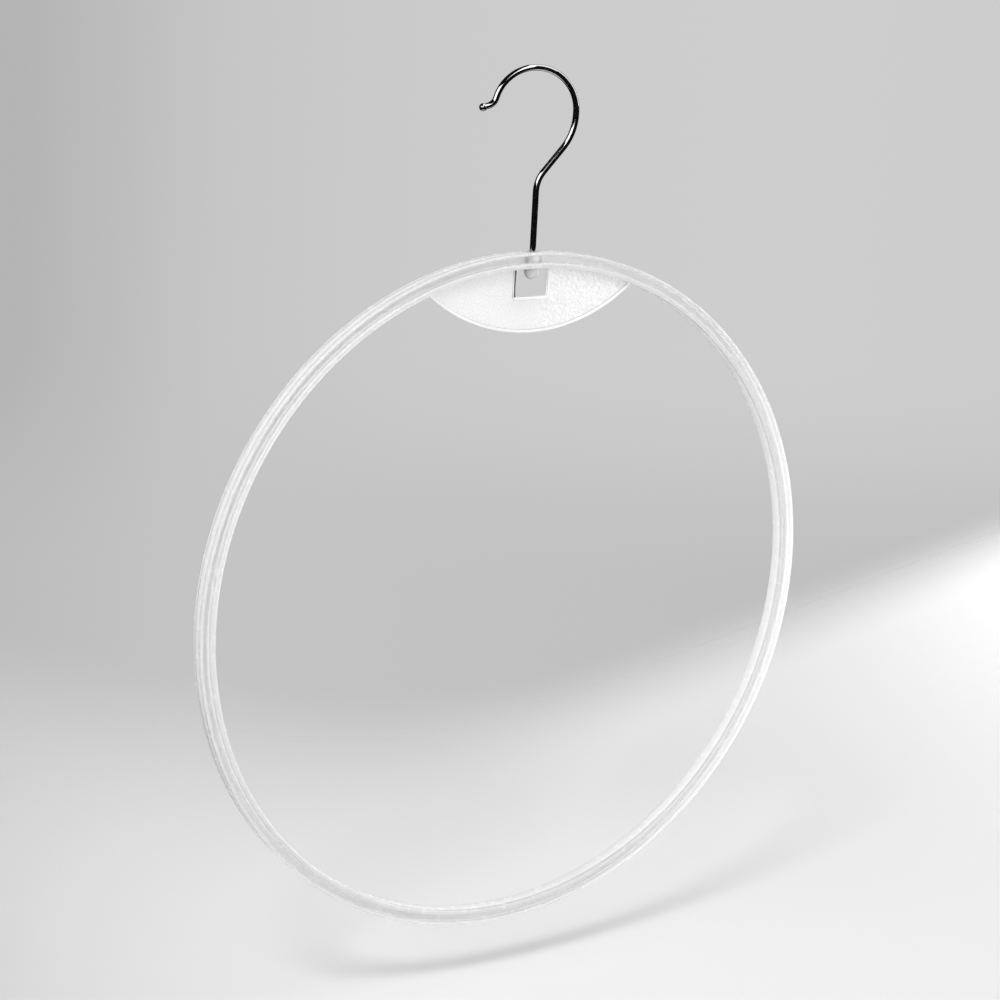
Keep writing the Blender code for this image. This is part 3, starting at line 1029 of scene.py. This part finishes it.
# %% Show each ray its own room
rays = add_node(tree, "ShaderNodeLightPath").outputs
seen = add_node(
    tree, "ShaderNodeMath", LARGER, {0: rays["Is Camera Ray"], 1: rays["Is Transmission Ray"]}
)
mirrored = add_node(tree, "ShaderNodeMixShader", inputs={0: ahead, 1: dark, 2: pale})
unseen = add_node(
    tree, "ShaderNodeMixShader", inputs={0: rays["Is Glossy Ray"], 1: fill, 2: mirrored}
)
room = add_node(tree, "ShaderNodeMixShader", inputs={0: seen, 1: unseen, 2: pale})
add_node(tree, "ShaderNodeOutputWorld", inputs={"Surface": room})
print("room takes", len(tree.nodes), "nodes")

# %% [markdown]
# ## The lamps
#
# Each lamp is placed by its direction from the hook and by how wide and high it looks from there,
# because that is what the chrome mirrors. A tall strip over the camera draws the highlight across
# the crook's left half, a low wide box at the left draws the two on the swan neck, and the boxes at
# the right and overhead draw the thin line round the crook's outside.
#
# A mirror and a matt surface need different things of a lamp, so some lamps here are seen by one of
# them only. The window low at the right is near, which makes the light fall off from right to left
# on the ring and the table, and the small, far key at the left draws the shadow on the table.

# %% The softboxes
HOOK_MIDDLE = Vector((0, 0, -0.05))


def add_softbox(name, azimuth, elevation, wide, high, radiance, distance=1.8, roll=0, seen_by="all"):
    """A softbox that faces the hook, with all its angles in degrees."""
    data = bpy.data.lights.new(name, "AREA")
    data.shape = "RECTANGLE"
    data.size = 2 * distance * math.tan(math.radians(wide / 2))
    data.size_y = 2 * distance * math.tan(math.radians(high / 2))
    data.energy = radiance * math.pi * data.size * data.size_y
    lamp = bpy.data.objects.new(name, data)
    bpy.context.scene.collection.objects.link(lamp)
    level = math.cos(math.radians(elevation))
    towards = Vector(
        (
            level * math.cos(math.radians(azimuth)),
            level * math.sin(math.radians(azimuth)),
            math.sin(math.radians(elevation)),
        )
    )
    roll_turn = Quaternion((0, 0, 1), math.radians(roll))
    lamp.location = HOOK_MIDDLE + towards * distance
    lamp.rotation_mode = "QUATERNION"
    lamp.rotation_quaternion = towards.to_track_quat("Z", "Y") @ roll_turn
    lamp.visible_camera = False
    lamp.visible_glossy = seen_by != "matt"
    lamp.visible_diffuse = seen_by != "chrome"
    print(name, "is", round(data.size, 2), "by", round(data.size_y, 2), "m")


add_softbox("strip_over_camera", -110, 41, 20, 54, 2.0)
add_softbox("left_box", -158, 17, 64, 20, 2.4, roll=-15)
add_softbox("right_box", -20, 24, 34, 46, 1.8, seen_by="chrome")
add_softbox("overhead", -25, 69, 60, 44, 1.6, seen_by="chrome")
add_softbox("window", 0, -8, 50, 24, 7.4, distance=1.15, seen_by="matt")
add_softbox("key", -143, 47, 13, 13, 26.0, distance=2.9, seen_by="matt")

# %% [markdown]
# ## The camera
#
# A long lens looks down from the left at the height that shows the hoop as the portrait does. Its
# place in metres, its turns in radians and its focal length in pixels were fitted to the hoop's
# outline in the portrait.

# %% Place the camera
LENS_PIXELS = 2431.93
FRAME_PIXELS = 1000
SENSOR = 36.0
YAW, PITCH, ROLL = 0.575206, 0.244864, 0.096845
CAMERA_PLACE = (-0.622349, -0.953698, HOOP_CENTRE + 0.348563)
camera_data = bpy.data.cameras.new("portrait_camera")
camera_data.sensor_width = SENSOR
camera_data.lens = LENS_PIXELS / FRAME_PIXELS * SENSOR
camera = bpy.data.objects.new("portrait_camera", camera_data)
bpy.context.scene.collection.objects.link(camera)
camera_turn = (
    Matrix.Rotation(math.pi / 2, 4, "X")
    @ Matrix.Rotation(-ROLL, 4, "Z")
    @ Matrix.Rotation(-PITCH, 4, "X")
    @ Matrix.Rotation(-YAW, 4, "Y")
)
camera.matrix_world = Matrix.Translation(CAMERA_PLACE) @ camera_turn
bpy.context.scene.camera = camera
bpy.context.scene.view_settings.view_transform = "Standard"
print("lens is", round(camera_data.lens, 1), "mm long")
